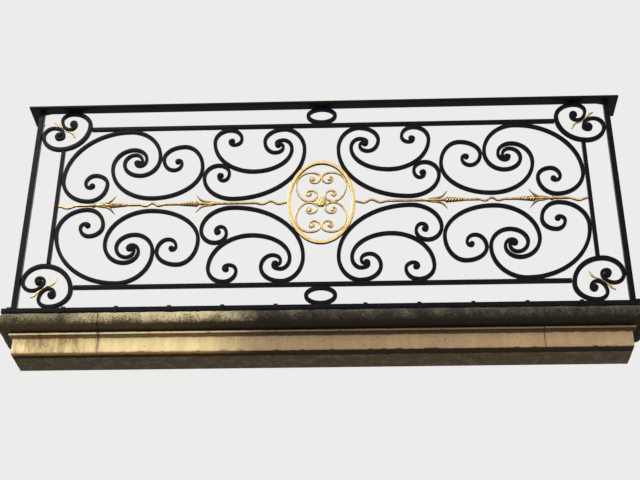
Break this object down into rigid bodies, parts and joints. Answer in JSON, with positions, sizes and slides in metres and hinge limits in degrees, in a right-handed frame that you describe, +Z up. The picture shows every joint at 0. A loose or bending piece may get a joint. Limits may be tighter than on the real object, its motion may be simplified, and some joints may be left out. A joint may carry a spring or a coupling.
{
  "type": "wrought iron balcony",
  "caption": "Shallow moulded stone balcony slab with a scrollwork iron railing, gilt cross bar and gilt oval medallion.",
  "frame": {"origin": "middle of the slab's flat underside, where it sits on the wall's ledge", "axes": "+Z up, -Y out to the street, +Y into the wall, X along the railing"},
  "size_m": [2.464, 0.204, 1.164],
  "materials": {
    "black_iron": "satin near-black paint on wrought iron",
    "gilding": "worn oil gilding on iron",
    "stone": "tooled warm limestone",
    "weathered_stone": "limestone with dark weathering on its round front"
  },
  "bodies": {
    "root": {"bottom_rail_front": "black_iron", "bottom_rail_return_left": "black_iron", "bottom_rail_return_right": "black_iron", "corner_scroll_lower_left": "black_iron", "corner_scroll_lower_right": "black_iron", "corner_scroll_upper_left": "black_iron", "corner_scroll_upper_right": "black_iron", "end_scrolls_lower_left": "black_iron", "end_scrolls_lower_right": "black_iron", "end_scrolls_upper_left": "black_iron", "end_scrolls_upper_right": "black_iron", "gilt_bar_left": "gilding", "gilt_bar_right": "gilding", "gilt_flame_lower_left": "gilding", "gilt_flame_lower_right": "gilding", "gilt_flame_upper_left": "gilding", "gilt_flame_upper_right": "gilding", "handrail_front": "black_iron", "handrail_return_left": "black_iron", "handrail_return_right": "black_iron", "inner_post_left": "black_iron", "inner_post_right": "black_iron", "inner_rail_bottom": "black_iron", "inner_rail_top": "black_iron", "medallion_ring": "gilding", "medallion_rosette": "gilding", "medallion_scrolls": "gilding", "middle_scrolls_lower_left": "black_iron", "middle_scrolls_lower_right": "black_iron", "middle_scrolls_upper_left": "black_iron", "middle_scrolls_upper_right": "black_iron", "oval_bottom": "black_iron", "oval_top": "black_iron", "post_left": "black_iron", "post_right": "black_iron", "rail_feet": "black_iron", "slab_fascia": "stone", "slab_nosing": "weathered_stone"}
  },
  "joints": []
}
